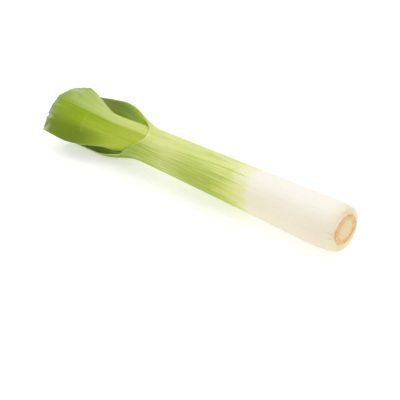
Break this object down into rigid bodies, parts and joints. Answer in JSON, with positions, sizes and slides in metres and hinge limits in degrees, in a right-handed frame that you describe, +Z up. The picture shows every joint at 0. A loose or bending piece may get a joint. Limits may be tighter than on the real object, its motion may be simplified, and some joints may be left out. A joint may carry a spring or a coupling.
{
  "type": "leek",
  "caption": "Trimmed leek lying on its side: white shaft with rounded base and root plate, green keeled leaves cut across and opening at the far end.",
  "frame": {"origin": "centre of the leek's bounding box in X and Y, on the surface that it lies on", "axes": "+X along the leek towards its root end, +Y towards the side that the outer leaf's lip faces, +Z up"},
  "size_m": [0.2922, 0.0574, 0.043],
  "materials": {
    "root_plate": "dry, fibrous, matt",
    "outer_leaf": "smooth waxy leaf, white at the base and green at the blade",
    "green_leaf": "smooth leaf with a waxy bloom",
    "inner_leaf": "smooth pale green leaf"
  },
  "bodies": {
    "root": {"root_plate": "root_plate", "outer_leaf": "outer_leaf", "second_leaf": "green_leaf", "third_leaf": "green_leaf", "fourth_leaf": "inner_leaf", "fifth_leaf": "inner_leaf", "heart_leaf": "inner_leaf"}
  },
  "joints": []
}
